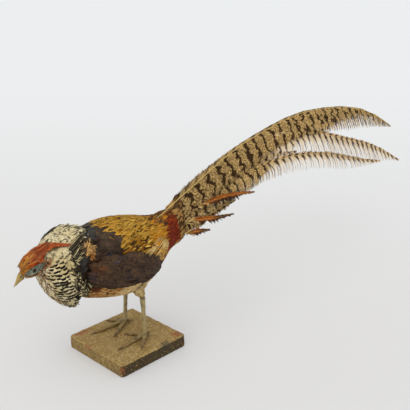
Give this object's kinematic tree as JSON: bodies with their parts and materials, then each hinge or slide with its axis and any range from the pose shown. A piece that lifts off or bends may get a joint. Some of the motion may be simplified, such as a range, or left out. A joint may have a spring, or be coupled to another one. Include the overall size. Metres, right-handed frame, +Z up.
{
  "type": "taxidermy pheasant",
  "caption": "Mounted cock pheasant with a scalloped ruff, golden back and long barred arching tail, standing head-low on a square board.",
  "frame": {"origin": "centre of the board's underside", "axes": "+Z up; the bird faces -X, its tail runs back along +X and its left side is toward -Y"},
  "size_m": [1.1017, 0.145, 0.3513],
  "materials": {
    "board": "flocked with sandy olive-brown grit, worn to reddish wood at the corners",
    "scale": "dry horny scales, greenish grey-yellow",
    "claw": "dull dark horn",
    "bill": "yellow horn, dull",
    "eye": "dark polished glass eye",
    "face": "orange-buff face feathers and bare grey-blue skin round the eye",
    "crest": "silky orange-red hair-like feathers",
    "ruff": "cream feathers with black scalloped edges",
    "plumage": "golden and brown body feathers with black flecks",
    "wing": "dark brown flight feathers with a faint violet gloss",
    "band": "dark red short feathers",
    "tail": "buff long feathers with dark brown bars and vermiculation",
    "covert": "orange-red pointed feathers"
  },
  "bodies": {
    "root": {"base_board": "board", "head": "face", "eye_left": "eye", "eye_right": "eye", "bill_upper": "bill", "bill_lower": "bill", "neck": "ruff", "ruff": "ruff", "crest": "crest", "wing_left": "wing", "wing_right": "wing", "trunk": "plumage", "tail_root": "band", "shank_left": "scale", "foot_left": "scale", "thigh_left": "plumage", "shank_right": "scale", "foot_right": "scale", "thigh_right": "plumage", "claw_left_middle": "claw", "claw_left_inner": "claw", "claw_left_outer": "claw", "claw_left_hind": "claw", "tail_first_left": "tail", "tail_second_left": "tail", "tail_third_left": "tail", "tail_fourth_left": "tail", "covert_upper_left": "covert", "covert_middle_left": "covert", "covert_lower_left": "covert", "claw_right_middle": "claw", "claw_right_inner": "claw", "claw_right_outer": "claw", "claw_right_hind": "claw", "tail_first_right": "tail", "tail_second_right": "tail", "tail_third_right": "tail", "tail_fourth_right": "tail", "covert_upper_right": "covert", "covert_middle_right": "covert", "covert_lower_right": "covert"}
  },
  "joints": []
}
